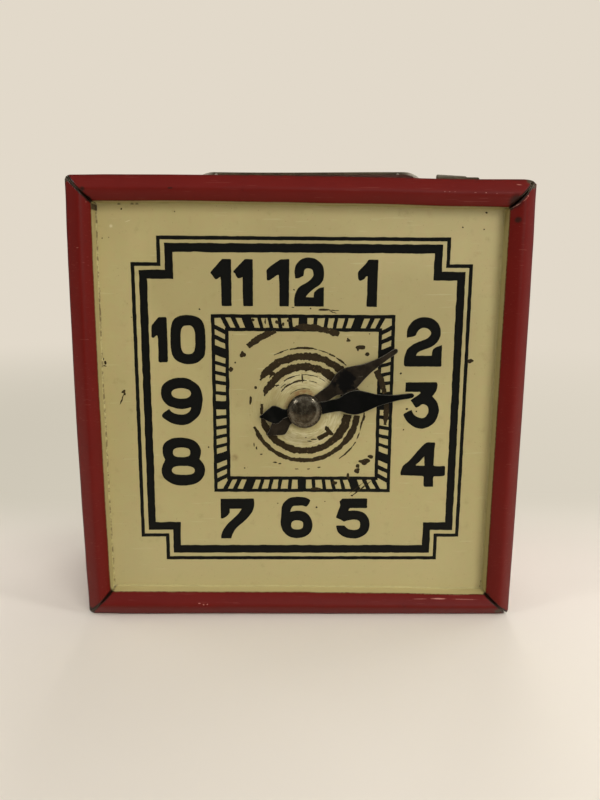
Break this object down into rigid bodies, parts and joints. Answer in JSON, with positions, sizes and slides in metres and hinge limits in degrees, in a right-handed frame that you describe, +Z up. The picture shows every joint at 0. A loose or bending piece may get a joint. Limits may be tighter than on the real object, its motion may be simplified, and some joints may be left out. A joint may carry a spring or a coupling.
{
  "type": "tin clock coin bank",
  "caption": "Square tin toy clock with two loose hands, a strap handle, a coin slot in the top and a hinged, locking trap door in the back.",
  "frame": {"origin": "middle of the base, on the surface that the bank stands on", "axes": "+Z is up, +X is to the right as the dial is read, and the dial faces -Y"},
  "size_m": [0.07, 0.0474, 0.0737],
  "materials": {
    "printed_dial": "satin",
    "red_tin": "gloss",
    "bare_tin": "dull",
    "dark_steel": "dull",
    "black_tin": "satin",
    "worn_black_tin": "satin",
    "brass": "dull"
  },
  "bodies": {
    "case": {"front_panel": "printed_dial", "body_shell": "red_tin", "back_panel": "red_tin", "strap_handle": "bare_tin", "hand_arbor": "dark_steel", "hand_spacer": "brass", "hand_spring_washer": "bare_tin", "hand_backing_washer": "bare_tin", "door_hinge_pin": "bare_tin"},
    "minute_hand": {"minute_hand": "black_tin"},
    "hour_hand": {"hour_hand": "worn_black_tin"},
    "door": {"trap_door": "red_tin", "keyhole_escutcheon": "brass", "escutcheon_rivets": "brass", "lock_case": "bare_tin", "lock_case_rivets": "bare_tin", "bolt_guide_stud": "bare_tin", "lock_spring": "dark_steel", "key_post": "brass"},
    "bolt": {"lock_bolt": "bare_tin"}
  },
  "joints": [
    {"name": "minute_hand_turn", "type": "hinge", "parent": "case", "child": "minute_hand", "pos_m": [0.00075, -0.022, 0.0347], "axis": [0, 1, 0], "continuous": true},
    {"name": "hour_hand_turn", "type": "hinge", "parent": "case", "child": "hour_hand", "pos_m": [0.00075, -0.0215, 0.0347], "axis": [0, 1, 0], "continuous": true},
    {"name": "door_hinge", "type": "hinge", "parent": "case", "child": "door", "pos_m": [0.0194, 0.0214, 0.035], "axis": [0, 0, -1], "range_deg": [0, 110]},
    {"name": "bolt_slide", "type": "slide", "parent": "door", "child": "bolt", "axis": [-1, 0, 0], "range_m": [0, 0.0028]}
  ]
}
